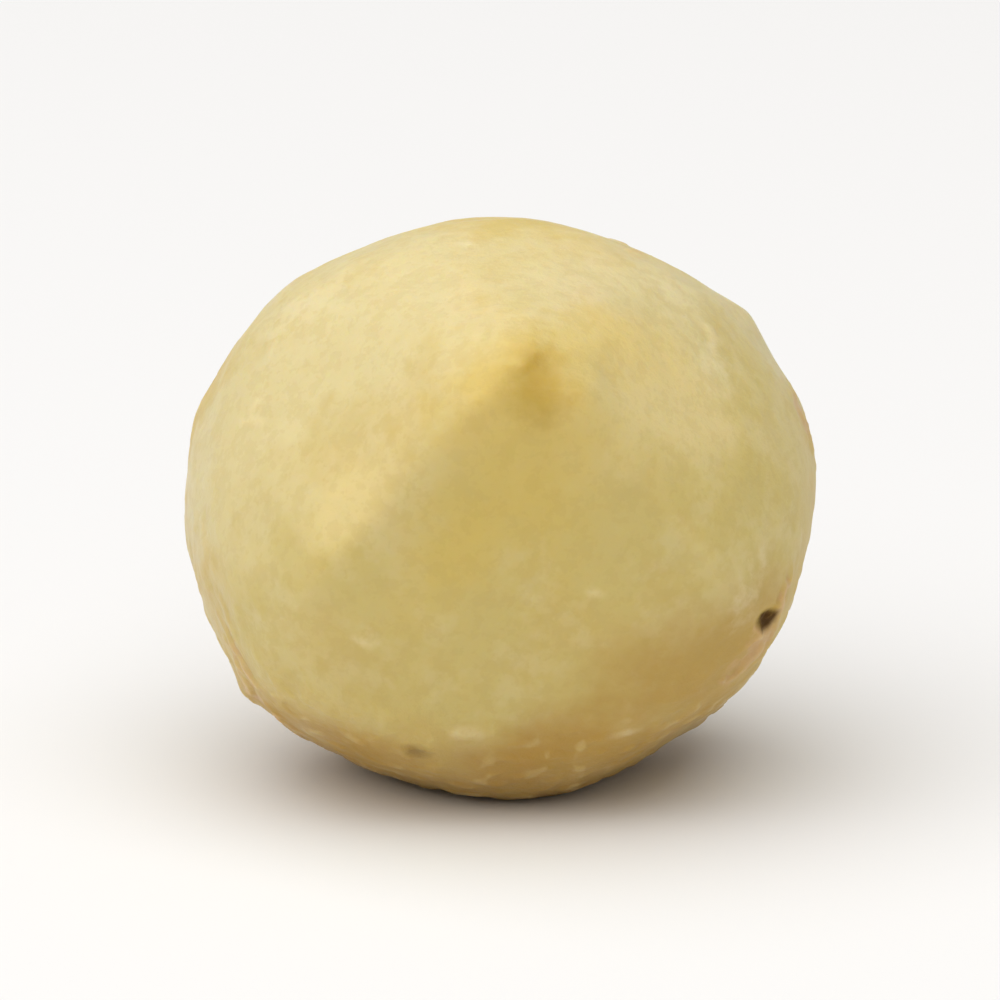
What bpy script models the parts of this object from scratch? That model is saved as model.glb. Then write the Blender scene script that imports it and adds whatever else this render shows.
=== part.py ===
"""Shelled macadamia kernel, whole.

One natural body, resting on a small flat spot with its pointed end forward and up.
Metres, +Z up. The pointed end faces -Y, and the kernel is widest along X. The origin is the
bottom centre of the kernel's bounding box, on the plane that the flat spot rests on.
"""

import math

import bmesh
import bpy
from mathutils import Matrix, Vector, noise

MM = 0.001

# Driving dimensions. The reaches run along the axis from the centre of the widest section.
WIDTH = 18.3 * MM
THICKNESS = 16.8 * MM
TIP_REACH = 11.6 * MM
FRONT_ROUND = 8.8 * MM
BASE_REACH = 7.9 * MM
TIP_BLUNTING = 0.45 * MM

# The kernel is softly four-sided across its axis: 2 would be an ellipse, more is squarer.
SECTION_SQUARENESS = 2.4

# How the kernel lies: its axis rises above the horizon and turns a little towards +X.
TIP_RISE = math.radians(37.0)
TIP_TURN = math.radians(4.5)
FLAT_SPOT_DEPTH = 0.5 * MM

# Faces where the shell pressed the kernel: the angle around the axis, counted from +X
# upwards on the front, the angle from the tip, and how deep the face lies.
PRESSED_FACES = (
    (30.0, 80.0, 0.15 * MM),
    (64.0, 75.0, 0.55 * MM),
    (116.0, 72.0, 0.15 * MM),
    (150.0, 80.0, 0.15 * MM),
    (205.0, 95.0, 0.10 * MM),
    (245.0, 102.0, 0.35 * MM),
    (302.0, 102.0, 0.80 * MM),
    (338.0, 95.0, 0.60 * MM),
    (264.0, 50.0, 0.35 * MM),
    (165.0, 45.0, 0.20 * MM),
    (20.0, 45.0, 0.15 * MM),
)
FACE_SOFTNESS = 0.45 * MM
# A pressed face reaches only directions that point its way at least this much.
FACE_REACH = 0.3

# Slow unevenness of the grown surface.
WAVE_LENGTH = 7.0 * MM
WAVE_HEIGHT = 0.12 * MM

MESH_SUBDIVISIONS = 5
RIM_SNAP = 0.03 * MM
RIM_MERGE = 0.15 * MM

KERNEL_COLOUR = (0.72, 0.58, 0.29, 1.0)
KERNEL_ROUGHNESS = 0.45


def remove_everything():
    for thing in list(bpy.data.objects):
        bpy.data.objects.remove(thing, do_unlink=True)


def kernel_material():
    """Oily cream nut flesh."""
    material = bpy.data.materials.new("macadamia_kernel")
    material.use_nodes = True
    shader = material.node_tree.nodes["Principled BSDF"]
    shader.inputs["Base Color"].default_value = KERNEL_COLOUR
    shader.inputs["Roughness"].default_value = KERNEL_ROUGHNESS
    shader.inputs["Metallic"].default_value = 0.0
    return material


def soft_minimum(first, second, softness):
    """The smaller of two lengths, with the change between them rounded off."""
    smaller = min(first, second)
    gap = abs(first - second) / softness
    return smaller - softness * math.log1p(math.exp(-gap))


def section_radius(around):
    """Radius of the widest section at an angle around the axis."""
    wide = abs(2.0 * math.cos(around) / WIDTH) ** SECTION_SQUARENESS
    thick = abs(2.0 * math.sin(around) / THICKNESS) ** SECTION_SQUARENESS
    return (wide + thick) ** (-1.0 / SECTION_SQUARENESS)


def round_radius(side, along, girth, reach):
    """Radius of an ellipse with half axes girth and reach, along the direction (side, along)."""
    return 1.0 / math.hypot(side / girth, along / reach)


def pointed_radius(side, along, girth):
    """The front: an ellipse that runs into the straight line tangent to it, with a blunt tip."""
    touch_along = FRONT_ROUND ** 2 / TIP_REACH
    touch_side = girth * math.sqrt(1.0 - (FRONT_ROUND / TIP_REACH) ** 2)
    if along * touch_side < side * touch_along:
        return round_radius(side, along, girth, FRONT_ROUND)
    slope = (TIP_REACH - touch_along) / touch_side
    cone = TIP_REACH / (along + slope * side)
    blunt_end = (TIP_REACH - TIP_BLUNTING) / along
    return soft_minimum(cone, blunt_end, TIP_BLUNTING)


def grown_radius(direction):
    """Distance from the centre to the plump kernel, before the shell pressed it."""
    side = math.hypot(direction.x, direction.y)
    girth = section_radius(math.atan2(direction.y, direction.x))
    if direction.z > 0.0:
        return pointed_radius(side, direction.z, girth)
    return round_radius(side, direction.z, girth, BASE_REACH)


def face_direction(around, from_tip):
    """Unit direction of a pressed face in the kernel's own frame, with the tip along +Z."""
    turn = math.radians(around)
    lean = math.radians(from_tip)
    return Vector((math.cos(turn) * math.sin(lean), math.sin(turn) * math.sin(lean), math.cos(lean)))


def kernel_radius(direction):
    """Distance from the centre to the finished surface along a unit direction."""
    radius = grown_radius(direction)
    for around, from_tip, depth in PRESSED_FACES:
        outward = face_direction(around, from_tip)
        facing = direction.dot(outward)
        if facing > FACE_REACH:
            face_distance = grown_radius(outward) - depth
            radius = soft_minimum(radius, face_distance / facing, FACE_SOFTNESS)
    return radius + WAVE_HEIGHT * noise.noise(direction * radius / WAVE_LENGTH)


def lying_rotation():
    """Turns the kernel's own frame, tip along +Z and +Y up, into the way it lies."""
    tip_forward = Matrix.Rotation(math.radians(90.0), 3, "X")
    rise = Matrix.Rotation(-TIP_RISE, 3, "X")
    turn = Matrix.Rotation(TIP_TURN, 3, "Z")
    return turn @ rise @ tip_forward


def cut_flat_spot(shape):
    """Cuts the underside level and closes the cut with one flat face."""
    lowest = min(point.co.z for point in shape.verts)
    everything = shape.verts[:] + shape.edges[:] + shape.faces[:]
    level = Vector((0.0, 0.0, lowest + FLAT_SPOT_DEPTH))
    cut = bmesh.ops.bisect_plane(
        shape, geom=everything, dist=RIM_SNAP, plane_co=level,
        plane_no=Vector((0.0, 0.0, -1.0)), use_snap_center=True, clear_outer=True,
    )
    rim_points = [item for item in cut["geom_cut"] if isinstance(item, bmesh.types.BMVert)]
    bmesh.ops.remove_doubles(shape, verts=rim_points, dist=RIM_MERGE)
    rim = [edge for edge in shape.edges if edge.is_boundary]
    bmesh.ops.contextual_create(shape, geom=rim)
    for edge in rim:
        edge.smooth = False


def stand_on_origin(shape):
    """Moves the shape so that its box's bottom centre is the origin."""
    low = Vector([min(point.co[axis] for point in shape.verts) for axis in range(3)])
    high = Vector([max(point.co[axis] for point in shape.verts) for axis in range(3)])
    middle = (low + high) / 2.0
    bmesh.ops.translate(shape, verts=shape.verts, vec=Vector((-middle.x, -middle.y, -low.z)))


def shape_kernel():
    """The kernel as a closed shape, standing on its flat spot."""
    shape = bmesh.new()
    bmesh.ops.create_icosphere(shape, subdivisions=MESH_SUBDIVISIONS, radius=1.0)
    for point in shape.verts:
        direction = point.co.normalized()
        point.co = direction * kernel_radius(direction)
    bmesh.ops.rotate(shape, verts=shape.verts, cent=Vector(), matrix=lying_rotation())
    cut_flat_spot(shape)
    stand_on_origin(shape)
    bmesh.ops.recalc_face_normals(shape, faces=shape.faces)
    for face in shape.faces:
        face.smooth = True
    return shape


def add_kernel(collection):
    """Adds the kernel as a named object with its own material."""
    mesh = bpy.data.meshes.new("kernel")
    shape = shape_kernel()
    shape.to_mesh(mesh)
    shape.free()
    mesh.materials.append(kernel_material())
    kernel = bpy.data.objects.new("kernel", mesh)
    collection.objects.link(kernel)


def main():
    remove_everything()
    collection = bpy.data.collections.new("macadamia_kernel")
    bpy.context.scene.collection.children.link(collection)
    add_kernel(collection)


main()
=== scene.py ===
"""A whole shelled macadamia kernel resting on a pale table top.

Metres, +Z up. The kernel lies on its small flat spot, with its pointed end towards -Y and
rising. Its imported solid, 18 mm wide, gives the shape, and the relief and flesh are made here.
"""

import math

import bpy
import numpy as np
from mathutils import Euler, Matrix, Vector, noise


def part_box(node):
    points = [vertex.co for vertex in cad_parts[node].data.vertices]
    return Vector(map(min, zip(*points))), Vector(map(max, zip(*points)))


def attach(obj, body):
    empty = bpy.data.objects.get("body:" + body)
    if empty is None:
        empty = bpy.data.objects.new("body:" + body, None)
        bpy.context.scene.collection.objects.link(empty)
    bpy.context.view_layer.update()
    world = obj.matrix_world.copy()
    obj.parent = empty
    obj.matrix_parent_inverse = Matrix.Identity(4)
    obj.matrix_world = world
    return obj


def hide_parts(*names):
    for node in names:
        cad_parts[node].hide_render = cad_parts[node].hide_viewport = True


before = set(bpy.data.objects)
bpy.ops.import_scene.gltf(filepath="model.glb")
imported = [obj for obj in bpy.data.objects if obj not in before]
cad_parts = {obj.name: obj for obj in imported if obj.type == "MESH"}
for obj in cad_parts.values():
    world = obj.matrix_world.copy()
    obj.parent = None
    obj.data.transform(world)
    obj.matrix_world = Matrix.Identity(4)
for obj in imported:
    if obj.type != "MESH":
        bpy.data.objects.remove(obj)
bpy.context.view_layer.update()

# ----------------------------------------------------------------------------------------
# Kernel: the seed of a macadamia nut, grown in one piece of firm, oily flesh. The hard shell
# pressed it into soft faces and rubbed its skin. It is worked from a ball that is drawn onto
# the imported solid, fine enough to carry chips and pits.
# ----------------------------------------------------------------------------------------
MM = 0.001
solid_low, solid_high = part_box("kernel")
kernel_middle = (solid_low + solid_high) / 2
# The kernel's own frame: +Z towards the pointed end, +Y over its back, +X to its right. The
# pointed end rises above the horizon and turns a little to the right.
TIP_RISE = 37.0
TIP_TURN = 4.5
KERNEL_LIE = Euler((math.radians(90.0 - TIP_RISE), 0.0, math.radians(TIP_TURN)))

# A copy of the solid is joined up and rounded, to be a smooth mould. An inset inside the rim
# of its flat spot keeps the spot flat.
MERGE_GAP = 0.001 * MM
FACING_DOWN = -0.999
AT_THE_BOTTOM = 0.01 * MM
SPOT_INSET = 0.5 * MM
bpy.ops.object.select_all(action="DESELECT")
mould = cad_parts["kernel"].copy()
mould.data = mould.data.copy()
bpy.context.scene.collection.objects.link(mould)
mould.select_set(True)
bpy.context.view_layer.objects.active = mould
bpy.ops.object.mode_set(mode="EDIT")
bpy.ops.mesh.select_all(action="SELECT")
bpy.ops.mesh.remove_doubles(threshold=MERGE_GAP)
bpy.ops.mesh.select_all(action="DESELECT")
bpy.ops.object.mode_set(mode="OBJECT")
for face in mould.data.polygons:
    face.select = face.normal.z < FACING_DOWN and face.center.z < AT_THE_BOTTOM
bpy.ops.object.mode_set(mode="EDIT")
bpy.ops.mesh.dissolve_faces()
bpy.ops.mesh.inset(thickness=SPOT_INSET)
bpy.ops.object.mode_set(mode="OBJECT")
rounding = mould.modifiers.new("rounding", "SUBSURF")
rounding.levels = 2
rounding.render_levels = 2
bpy.ops.object.modifier_apply(modifier=rounding.name)

# A cube cut fine and cast to a ball is drawn in onto the mould. Its faces end up about 0.1 mm
# across, and they are evened out a little.
BALL_ACROSS = 24.0 * MM
BALL_CUTS = (15, 7)
bpy.ops.object.select_all(action="DESELECT")
bpy.ops.mesh.primitive_cube_add(size=BALL_ACROSS, location=kernel_middle)
kernel = bpy.context.object
kernel.name = "kernel_flesh"
kernel.data.name = "kernel_flesh"
bpy.ops.object.mode_set(mode="EDIT")
bpy.ops.mesh.select_all(action="SELECT")
for cuts in BALL_CUTS:
    bpy.ops.mesh.subdivide(number_cuts=cuts)
bpy.ops.object.mode_set(mode="OBJECT")
balling = kernel.modifiers.new("balling", "CAST")
balling.cast_type = "SPHERE"
balling.factor = 1.0
balling.use_radius_as_size = False
balling.size = BALL_ACROSS / 2
bpy.ops.object.modifier_apply(modifier=balling.name)
drawing = kernel.modifiers.new("drawing", "SHRINKWRAP")
drawing.target = mould
drawing.wrap_method = "PROJECT"
drawing.use_negative_direction = True
drawing.use_positive_direction = False
bpy.ops.object.modifier_apply(modifier=drawing.name)
bpy.data.objects.remove(mould)
easing = kernel.modifiers.new("easing", "SMOOTH")
easing.factor = 0.5
easing.iterations = 10
bpy.ops.object.modifier_apply(modifier=easing.name)
bpy.ops.object.transform_apply(location=True, rotation=True, scale=True)
bpy.ops.object.shade_smooth()

# From here to the material every length is in millimetres and every angle in degrees.
count = len(kernel.data.vertices)
places = np.empty(count * 3)
normals = np.empty(count * 3)
kernel.data.vertices.foreach_get("co", places)
kernel.data.vertices.foreach_get("normal", normals)
places = places.reshape(-1, 3) / MM
normals = normals.reshape(-1, 3)
own = (places - np.array(kernel_middle) / MM) @ np.array(KERNEL_LIE.to_matrix())
from_tip = np.degrees(np.arctan2(np.hypot(own[:, 0], own[:, 1]), own[:, 2]))


def ramp(values, start, end):
    """0 at start, 1 at end, with a soft change between them."""
    share = np.clip((values - start) / (end - start), 0.0, 1.0)
    return share * share * (3.0 - 2.0 * share)


def grain(points, size, seed):
    """Smooth noise from -1 to 1 whose bumps are about size millimetres across."""
    shift = Vector((seed * 17.3, seed * 5.1, seed * 11.9))
    return np.array([noise.noise(Vector(point) / size + shift) for point in points])


BROAD_SIZE = 3.2
MIDDLING_SIZE = 1.3
SMALL_SIZE = 0.55
broad = grain(own, BROAD_SIZE, 1)
middling = grain(own, MIDDLING_SIZE, 2)
small = grain(own, SMALL_SIZE, 4)


def wavering(values, broad_share, middling_share, small_share):
    """Values that waver by shares of the three sizes of noise."""
    return values + broad_share * broad + middling_share * middling + small_share * small


# The hard shell left small flats all over the flesh, some 1 to 2 mm across.
FLATS = 150
FLAT_DEPTHS = (0.015, 0.075)
FLAT_EDGE = 0.02
FLAT_REACH = 0.3
chance = np.random.default_rng(11)
shaped = places.copy()
for flat in range(FLATS):
    outward = chance.normal(size=3)
    outward /= np.linalg.norm(outward)
    reach = shaped @ outward
    over = reach - reach.max() + chance.uniform(*FLAT_DEPTHS)
    pressed = 0.5 * (over + np.hypot(over, FLAT_EDGE)) * (over > -FLAT_REACH)
    shaped -= pressed[:, None] * outward

# Blunt corners stand out where the larger pressed faces meet: place, width and height.
CORNERS = (
    ((7.0, 1.2, 13.2), 3.4, 0.26),
    ((-5.7, 1.4, 14.2), 4.4, 0.20),
    ((-8.5, 1.2, 10.6), 3.2, 0.16),
    ((-7.2, -0.9, 2.7), 2.6, 0.32),
    ((8.6, 1.0, 10.6), 2.6, 0.10),
)
CORNER_BLUNTNESS = 0.25
height = np.zeros(count)
for corner, width, rise in CORNERS:
    distance = np.hypot(np.linalg.norm(places - np.array(corner), axis=1), CORNER_BLUNTNESS)
    height += rise * np.clip(1.0 - distance / (width / 2), 0.0, 1.0) ** 2

# Two soft crests run down from the tip, one to each side. The faces over them slope gently,
# and the front between them is steep: angle around the axis, height, and how far the crest
# spreads over its face and over the front. A crest rises away from the axis and dies out at an
# angle from the tip.
CRESTS = (
    (217.0, 0.46, 3.4, 2.3),
    (321.0, 0.42, 3.6, 2.0),
)
CREST_PEAK = 1.05
CREST_BLUNTNESS = 0.1
CREST_ROOT = (0.2, 1.8)
CREST_END = (72.0, 46.0)
for turn, rise, over_face, over_front in CRESTS:
    crest = np.array((math.cos(math.radians(turn)), math.sin(math.radians(turn))))
    across = own[:, 1] * crest[0] - own[:, 0] * crest[1]
    spread = np.where(across * crest[0] > 0.0, over_face, over_front)
    share = np.clip(CREST_PEAK - np.hypot(across / spread, CREST_BLUNTNESS), 0.0, 1.0) ** 2
    height += rise * share * ramp(own[:, :2] @ crest, *CREST_ROOT) * ramp(from_tip, *CREST_END)

# Marks in the flesh are a pit, soft stains, pinkish raw skin, pale flecks and scuffs. Each has
# its place, its length and width, and how far it turns from level.
PITS = (
    ((7.6, -4.4, 5.8), 1.60, 0.85, -17.0),
)
STAINS = (
    ((-2.4, -5.7, 2.3), 0.90, 0.75, -10.0),
)
RAW_SKIN = (
    ((7.4, -4.2, 5.0), 2.6, 1.7, 60.0),
    ((7.9, -3.8, 6.4), 1.4, 0.8, 60.0),
    ((-6.9, -2.3, 2.9), 2.6, 1.4, -60.0),
    ((-7.4, -3.4, 4.4), 2.4, 1.2, -70.0),
    ((8.6, 0.2, 10.6), 2.2, 1.3, 80.0),
    ((3.9, 0.2, 15.4), 1.4, 0.8, -30.0),
)
FLECKS = (
    ((6.0, -2.2, 13.5), 1.00, 0.60, 70.0),
    ((-7.0, -3.3, 11.3), 1.10, 0.40, 10.0),
    ((-6.8, -3.0, 11.8), 0.80, 0.30, 70.0),
    ((2.6, -7.7, 7.5), 0.60, 0.40, 0.0),
    ((-3.8, -7.3, 6.0), 0.65, 0.35, 0.0),
    ((-3.0, -3.3, 1.0), 0.90, 0.55, -20.0),
    ((3.6, -5.7, 2.9), 0.80, 0.42, 15.0),
    ((-1.0, -6.4, 3.1), 0.90, 0.55, 0.0),
    ((-0.9, -1.8, 16.1), 0.60, 0.40, 0.0),
)
SCUFFS = (
    ((4.8, -1.9, 14.7), 2.6, 1.6, -30.0),
    ((6.0, -3.2, 12.9), 1.8, 1.4, 60.0),
    ((-5.8, -1.6, 14.0), 2.4, 1.6, 30.0),
    ((6.9, -5.6, 7.0), 1.8, 1.2, 60.0),
)
# Washes of colour: the tan tip; the warmer flesh below it, darkened there as painted shade; the
# straw-coloured band to its right; painted light that makes the flanks beside the crests paler;
# and painted shade that makes the gold near the underside darker.
TAN_WASH = (
    ((1.1, -8.3, 14.0), 2.2, 1.4, 80.0),
)
# Partly a warmer tone and partly painted shade: the flesh below the tip is darker, as in the shade
# under it.
WARM_SHADE_WASH = (
    ((0.4, -8.2, 13.9), 3.6, 3.0, 45.0),
    ((0.6, -8.4, 11.4), 6.4, 3.8, 90.0),
    ((-0.8, -8.3, 9.4), 5.0, 2.8, 60.0),
)
STRAW_WASH = (
    ((3.4, -5.6, 14.3), 5.4, 2.4, -15.0),
)
# Painted light: the flanks beside the crests are made paler where the soft box lights them.
PAINTED_LIGHT_WASH = (
    ((4.6, -5.6, 12.4), 5.0, 4.0, 0.0),
    ((-4.2, -7.1, 9.6), 3.0, 1.4, 45.0),
)
# Painted shade: the flesh low on the front is made darker gold.
GOLD_SHADE_WASH = (
    ((5.6, -6.0, 4.7), 5.0, 3.2, 40.0),
    ((4.0, -4.6, 2.3), 6.0, 3.0, 20.0),
    ((-4.6, -4.8, 2.0), 5.0, 2.0, -20.0),
)
MARK_MARGIN = 1.6
MARK_RAG_SIZE = 0.35
MARK_SLIMNESS = (0.35, 0.85)


def mark_field(marks, raggedness=0.5):
    """1 in the middle of a mark, 0 at its ragged edge and down to -1 away from all of them."""
    field = np.full(count, -1.0)
    for place, length, width, turn in marks:
        offset = places - np.array(place)
        distance = np.linalg.norm(offset, axis=1)
        near = np.nonzero(distance < MARK_MARGIN * length)[0]
        outward = Vector(normals[np.argmin(distance)])
        level = outward.cross(Vector((0.0, 0.0, 1.0))).normalized()
        rising = level.cross(outward)
        slant = math.radians(turn)
        along = math.sin(slant) * rising - math.cos(slant) * level
        across = outward.cross(along)
        reach = np.hypot(
            offset[near] @ np.array(along) / (length / 2),
            offset[near] @ np.array(across) / (width / 2),
        )
        reach += raggedness * grain(places[near], MARK_RAG_SIZE, 3)
        field[near] = np.maximum(field[near], np.clip(1.0 - reach, -1.0, 1.0))
    return field


def scattered(number, lengths, weights):
    """Marks of mixed sizes, scattered by chance where the weights are high."""
    chosen = chance.choice(count, number, p=weights / weights.sum())
    long = chance.uniform(*lengths, number)
    wide = long * chance.uniform(*MARK_SLIMNESS, number)
    turns = chance.uniform(-90.0, 90.0, number)
    return tuple((places[i], *size) for i, *size in zip(chosen, long, wide, turns))


# The base half starts nearer the tip on the underside than over the back. Its skin is
# rougher, with some 90 fine strands that run to the scar at the base, each about 2 mm long, and
# a faint seam crosses it. Edges waver by shares of the broad, middling and small noise.
BASE_START = 80.0
BASE_LEAN = 1.5
BASE_BLEND = (-12.0, 20.0)
BASE_WAVER = (10.0, 5.0, 0.0)
base_start = BASE_START + BASE_LEAN * own[:, 1]
base = ramp(wavering(from_tip, *BASE_WAVER), base_start + BASE_BLEND[0], base_start + BASE_BLEND[1])
HIDDEN_FROM = (-1.0, 3.0)
hidden = ramp(places[:, 1], *HIDDEN_FROM)

STRANDS_ROUND = 14.0
STRANDS_ALONG = 0.45
around = np.arctan2(own[:, 1], own[:, 0])
ring = (np.cos(around) * STRANDS_ROUND, np.sin(around) * STRANDS_ROUND, own[:, 2] * STRANDS_ALONG)
strands = grain(np.column_stack(ring), 1.0, 5)
DASH_ON_STRAND = (0.10, 0.45)
DASH_BREAK = (-0.10, 0.25)
dashes = base * ramp(strands, *DASH_ON_STRAND) * ramp(small, *DASH_BREAK)

SCAR_EDGE = (156.0, 170.0)
SCAR_WAVER = (0.0, 5.0, 4.0)
scar = ramp(wavering(from_tip, *SCAR_WAVER), *SCAR_EDGE)
SEAM_HALF_WIDTH = 0.30
SEAM_BEND = (-0.9, -0.15, 0.0)
SEAM_START = (124.0, 142.0)
SEAM_WAVER = (0.0, 8.0, 0.0)
seam = ramp(np.abs(wavering(own[:, 0], *SEAM_BEND)), SEAM_HALF_WIDTH, 0.0)
seam *= ramp(wavering(from_tip, *SEAM_WAVER), *SEAM_START)

# The marks placed above are joined by others, scattered over the back and the base half.
PIT_RAGGEDNESS = 0.08
STAIN_RAGGEDNESS = 0.3
pit = mark_field(PITS, PIT_RAGGEDNESS)
stain = mark_field(STAINS + scattered(5, (0.5, 1.2), hidden), STAIN_RAGGEDNESS)
raw = mark_field(RAW_SKIN + scattered(5, (0.8, 2.2), hidden + base))
fleck = mark_field(FLECKS + scattered(90, (0.2, 0.6), base * hidden))
scuff = mark_field(SCUFFS + scattered(16, (1.5, 4.0), hidden))

# Relief of the skin, in millimetres: the noise all over it, the strands and chips of the base
# half, the scar, the seam, the crumbs of raw skin, the flecks and the pit.
BROAD_RELIEF = 0.040
MIDDLING_RELIEF = 0.030
SMALL_RELIEF = 0.010
height += BROAD_RELIEF * broad + MIDDLING_RELIEF * middling + SMALL_RELIEF * small
STRAND_RELIEF = 0.030
CHIP_RELIEF = 0.035
CHIP_CLUSTERING = 0.4
CHIP_EDGE = (0.15, 0.40)
chips = ramp(small + CHIP_CLUSTERING * middling, *CHIP_EDGE)
height += base * (STRAND_RELIEF * strands + CHIP_RELIEF * chips)
SCAR_GRAIN = 0.06
SCAR_DEPTH = 0.07
SEAM_DEPTH = 0.04
height += scar * (SCAR_GRAIN * small - SCAR_DEPTH) - SEAM_DEPTH * seam
CRUMB_RELIEF = 0.07
CRUMB_EDGE = (-0.1, 0.2)
RAW_DEPTH = 0.03
RAW_EDGE = (-0.15, 0.15)
height += ramp(raw, *RAW_EDGE) * (CRUMB_RELIEF * ramp(small, *CRUMB_EDGE) - RAW_DEPTH)
FLECK_RELIEF = 0.02
FLECK_EDGE = (-0.2, 0.8)
height += FLECK_RELIEF * ramp(fleck, *FLECK_EDGE)
PIT_DEPTH = 0.16
PIT_EDGE = (-0.3, 0.7)
height -= PIT_DEPTH * ramp(pit, *PIT_EDGE)
shaped += normals * height[:, None]
shaped[:, 2] = np.maximum(shaped[:, 2], 0.0)
kernel.data.vertices.foreach_set("co", (shaped * MM).ravel())

# What the flesh is painted by, each from -1 where it is absent to 1 where it is full.
# Painted shade: the flesh turns darker gold over the lowest 5.5 mm above the table.
UNDERSIDE_SHADE_EDGE = (5.5, 0.0)
UNDERSIDE_SHADE_WAVER = (0.8, 0.4, 0.0)
WASH_RAGGEDNESS = 0.2
underside_shade = ramp(wavering(places[:, 2], *UNDERSIDE_SHADE_WAVER), *UNDERSIDE_SHADE_EDGE)
painted = {
    "pit": pit,
    "stain": stain,
    "raw_skin": raw,
    "fleck": fleck,
    "scuff": scuff,
    "base_half": 2.0 * base - 1.0,
    "underside_shade": 2.0 * underside_shade - 1.0,
    "dashes": 2.0 * dashes - 1.0,
    "scar": 2.0 * scar - 1.0,
    "seam": 2.0 * seam - 1.0,
    "tan_wash": mark_field(TAN_WASH, WASH_RAGGEDNESS),
    "warm_shade_wash": mark_field(WARM_SHADE_WASH, WASH_RAGGEDNESS),
    "straw_wash": mark_field(STRAW_WASH, WASH_RAGGEDNESS),
    "painted_light_wash": mark_field(PAINTED_LIGHT_WASH, WASH_RAGGEDNESS),
    "gold_shade_wash": mark_field(GOLD_SHADE_WASH, WASH_RAGGEDNESS),
}
for name, values in painted.items():
    layer = kernel.data.attributes.new(name, "FLOAT", "POINT")
    layer.data.foreach_set("value", values.astype(np.float32))
kernel.data.update()


def linear(hex_colour):
    """An sRGB hex colour as linear red, green, blue and alpha."""
    shares = [int(hex_colour[i:i + 2], 16) / 255 for i in (1, 3, 5)]
    return [s / 12.92 if s <= 0.04045 else ((s + 0.055) / 1.055) ** 2.4 for s in shares] + [1.0]


def add_node(tree, kind, settings=None, inputs=None):
    """Adds a node, sets its properties, and sets or links each input."""
    node = tree.nodes.new(kind)
    for key, value in (settings or {}).items():
        setattr(node, key, value)
    for key, value in (inputs or {}).items():
        if isinstance(value, bpy.types.NodeSocket):
            tree.links.new(value, node.inputs[key])
        else:
            node.inputs[key].default_value = value
    return node


# Macadamia flesh: smooth and waxy from its oil, so it has a low broad sheen, and light goes
# a little way into it. The pointed half is cream, the tip is tan, and the base half is golden
# and rougher, with pale scuffs and flecks where the shell rubbed it.
flesh = bpy.data.materials.new("macadamia_flesh")
flesh.use_nodes = True
tree = flesh.node_tree
tree.nodes.clear()

place = add_node(tree, "ShaderNodeTexCoord")
lying = add_node(tree, "ShaderNodeMapping", {"vector_type": "TEXTURE"}, {
    "Vector": place.outputs["Object"],
    "Location": kernel_middle,
    "Rotation": KERNEL_LIE,
})
own_place = lying.outputs["Vector"]

# Each noise is centred on 0. Its patches are about as many millimetres across as it says, and
# a patch takes up about half of a noise cell.
PATCH_SHARE = 0.5
speckle = {}
for name, across, detail in (
    ("tiny", 0.13, 3.0),
    ("fine", 0.35, 4.0),
    ("mottled", 1.0, 4.0),
    ("cloudy", 2.6, 4.0),
    ("slow", 6.0, 2.0),
):
    texture = add_node(tree, "ShaderNodeTexNoise", {"normalize": False}, {
        "Vector": own_place,
        "Scale": PATCH_SHARE / (across * MM),
        "Detail": detail,
        "Roughness": 0.6,
    })
    speckle[name] = texture.outputs["Fac"]
for name in painted:
    speckle[name] = add_node(tree, "ShaderNodeAttribute", {"attribute_name": name}).outputs["Fac"]
# How far a place lies over the kernel's back and a little to its left, in millimetres.
LEFT_SHARE = 0.25
over_back = add_node(tree, "ShaderNodeVectorMath", {"operation": "DOT_PRODUCT"}, {
    0: own_place,
    1: (-LEFT_SHARE / MM, 1.0 / MM, 0.0),
})
speckle["over_back"] = over_back.outputs["Value"]

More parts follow.
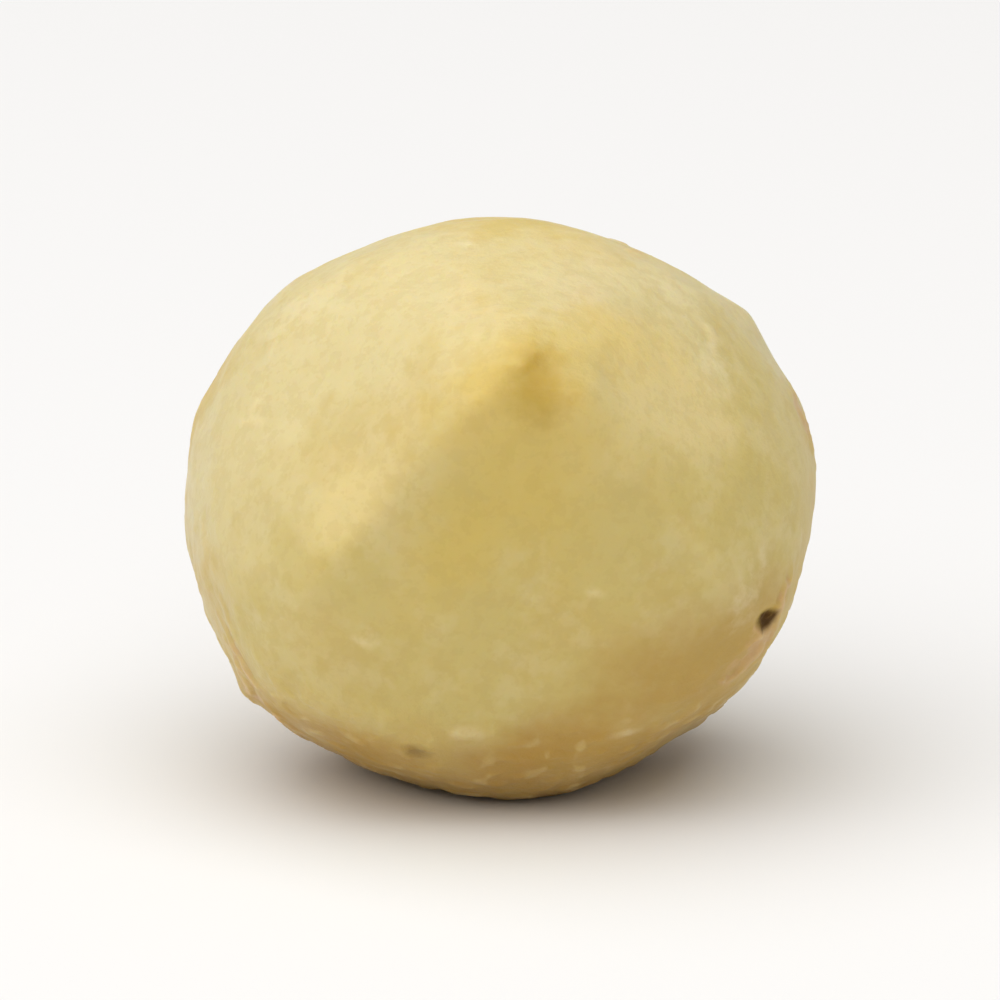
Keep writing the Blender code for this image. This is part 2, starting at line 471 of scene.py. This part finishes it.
# Each layer covers the ones before it: what it follows, the noise that frays its edge and by
# how much, where it starts and where it is full, its strength there, and its colour.
FLESH_CREAM = "#d9ca96"
layers = (
    ("slow", "mottled", 0.3, -0.15, 0.25, 0.6, "#dcc893"),
    # Partly the flesh's tone and partly painted light and shade: cream over the lit back and a
    # little to the left, yellower towards the front and underside.
    ("over_back", "cloudy", 4.0, 1.5, -5.0, 1.0, "#cdba74"),
    ("cloudy", "mottled", 0.3, -0.15, 0.45, 0.5, "#cab36b"),
    ("mottled", "fine", 0.3, -0.15, 0.60, 0.2, "#e2d6ab"),
    ("base_half", "cloudy", 0.9, -0.5, 1.2, 0.65, "#ccae62"),
    # Painted shade: darker gold low down, near the table.
    ("underside_shade", "cloudy", 0.5, -0.75, 1.0, 0.75, "#ad8339"),
    # Painted shade: darker gold low on the front.
    ("gold_shade_wash", "cloudy", 0.6, -0.7, 0.6, 0.65, "#b58f3f"),
    # Painted light: paler flanks beside the crests.
    ("painted_light_wash", "cloudy", 0.5, -0.75, 0.7, 0.60, "#e4d194"),
    ("straw_wash", "cloudy", 0.5, -0.75, 0.9, 0.60, "#dfc676"),
    # Partly a warmer tone and partly painted shade: darker flesh below the tip.
    ("warm_shade_wash", "cloudy", 0.5, -0.75, 0.7, 0.70, "#d2b85e"),
    ("tan_wash", "mottled", 0.4, -0.8, 0.9, 0.85, "#b99a3a"),
    ("dashes", "fine", 0.4, -0.8, 1.3, 0.30, "#e0d09a"),
    ("scuff", "fine", 0.9, -0.4, 1.1, 0.32, "#e8dcb2"),
    ("scar", "fine", 0.7, -0.6, 1.0, 0.50, "#b4924f"),
    ("seam", "fine", 0.5, -0.6, 1.1, 0.40, "#a8843f"),
    ("raw_skin", "fine", 0.6, -0.3, 0.7, 0.62, "#cfaa7c"),
    ("fleck", "fine", 0.4, -0.6, 1.1, 0.38, "#ecdcae"),
    ("stain", "fine", 0.3, -0.5, 0.9, 0.75, "#8a6a2a"),
    ("pit", "fine", 0.1, -0.1, 0.50, 1.00, "#4c3000"),
    # Painted shade: the flesh is darker where the fine grain of the bump lies low, in its hollows.
    ("fine", "tiny", 0.7, 0.05, -0.35, 0.10, "#b3954a"),
)
colour = linear(FLESH_CREAM)
for follows, frays, amount, start, full, strength, paint in layers:
    frayed = add_node(tree, "ShaderNodeMath", {"operation": "MULTIPLY_ADD"}, {
        0: speckle[frays],
        1: amount,
        2: speckle[follows],
    })
    share = add_node(tree, "ShaderNodeMapRange", {"interpolation_type": "SMOOTHSTEP"}, {
        "Value": frayed.outputs["Value"],
        "From Min": start,
        "From Max": full,
        "To Max": strength,
    })
    cover = add_node(tree, "ShaderNodeMix", {"data_type": "RGBA"}, {
        0: share.outputs["Result"],
        6: colour,
        7: linear(paint),
    })
    colour = cover.outputs[2]

# The waxy skin has a fine grain all over, with a little finer grain on it.
TINY_SHARE = 0.25
GRAIN_DEPTH = 0.012 * MM
grain_depth = add_node(tree, "ShaderNodeMath", {"operation": "MULTIPLY_ADD"}, {
    0: speckle["tiny"],
    1: TINY_SHARE,
    2: speckle["fine"],
})
skin_bump = add_node(tree, "ShaderNodeBump", None, {
    "Height": grain_depth.outputs["Value"],
    "Strength": 1.0,
    "Distance": GRAIN_DEPTH,
})
polish = add_node(tree, "ShaderNodeMapRange", None, {
    "Value": speckle["cloudy"],
    "From Min": -0.3,
    "From Max": 0.3,
    "To Min": 0.36,
    "To Max": 0.52,
})
# The pit is bare and dry, so it is dull.
dull_pit = add_node(tree, "ShaderNodeMapRange", None, {
    "Value": speckle["pit"],
    "From Min": -0.2,
    "From Max": 0.2,
    "To Min": polish.outputs["Result"],
    "To Max": 1.0,
})
surface = add_node(tree, "ShaderNodeBsdfPrincipled", None, {
    "Base Color": colour,
    "Roughness": dull_pit.outputs["Result"],
    "IOR": 1.46,
    "Specular IOR Level": 0.35,
    "Subsurface Weight": 0.8,
    "Subsurface Radius": (1.0, 0.70, 0.30),
    "Subsurface Scale": 0.8 * MM,
    "Normal": skin_bump.outputs["Normal"],
})
add_node(tree, "ShaderNodeOutputMaterial", None, {"Surface": surface.outputs["BSDF"]})
kernel.data.materials.append(flesh)

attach(kernel, "root")
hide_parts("kernel")

# ----------------------------------------------------------------------------------------
# Table top: a sheet of matt white paper that the kernel rests on, far wider than the view.
# It is plain and flat, and it only takes the kernel's soft shadow.
# ----------------------------------------------------------------------------------------
TABLE_SIZE = 3.0
bpy.ops.object.select_all(action="DESELECT")
bpy.ops.mesh.primitive_plane_add(size=TABLE_SIZE, location=(0.0, 0.0, 0.0))
table_top = bpy.context.object
table_top.name = "table_top"
paper = bpy.data.materials.new("matt_paper")
paper.use_nodes = True
paper_shader = paper.node_tree.nodes["Principled BSDF"]
paper_shader.inputs["Base Color"].default_value = linear("#ebebec")
paper_shader.inputs["Roughness"].default_value = 0.9
paper_shader.inputs["Specular IOR Level"].default_value = 0.1
table_top.data.materials.append(paper)

# ----------------------------------------------------------------------------------------
# Light and camera: one wide soft box overhead, a little to the left and in front, in a pale
# room, and a long lens that looks down a little at the pointed end.
# ----------------------------------------------------------------------------------------
LIGHT_COLOUR = (1.0, 0.985, 0.96)
BOX_DIRECTION = Vector((-0.20, -0.30, 1.0)).normalized()
BOX_DISTANCE = 0.6
soft_box = bpy.data.lights.new("overhead_soft_box", "AREA")
soft_box.shape = "SQUARE"
soft_box.size = 1.1
soft_box.energy = 6.6
soft_box.color = LIGHT_COLOUR
box_stand = bpy.data.objects.new("overhead_soft_box", soft_box)
bpy.context.scene.collection.objects.link(box_stand)
box_stand.location = kernel_middle + BOX_DIRECTION * BOX_DISTANCE
box_stand.rotation_euler = BOX_DIRECTION.to_track_quat("Z", "Y").to_euler()

surroundings = bpy.data.worlds.new("pale_room")
surroundings.use_nodes = True
room = surroundings.node_tree.nodes["Background"]
room.inputs["Color"].default_value = (1.0, 0.99, 0.97, 1.0)
room.inputs["Strength"].default_value = 0.36
bpy.context.scene.world = surroundings
bpy.context.scene.view_settings.view_transform = "Standard"

CAMERA_RISE = math.radians(15.0)
CAMERA_DISTANCE = 0.30
VIEW_WIDTH = 28.5 * MM
lens = bpy.data.cameras.new("camera")
lens.sensor_width = 36.0
lens.lens = lens.sensor_width * CAMERA_DISTANCE / VIEW_WIDTH
lens.clip_start = 0.01
camera = bpy.data.objects.new("camera", lens)
bpy.context.scene.collection.objects.link(camera)
towards_camera = Vector((0.0, -math.cos(CAMERA_RISE), math.sin(CAMERA_RISE)))
camera.location = kernel_middle + CAMERA_DISTANCE * towards_camera
camera.rotation_euler = (math.radians(90.0) - CAMERA_RISE, 0.0, 0.0)
bpy.context.scene.camera = camera
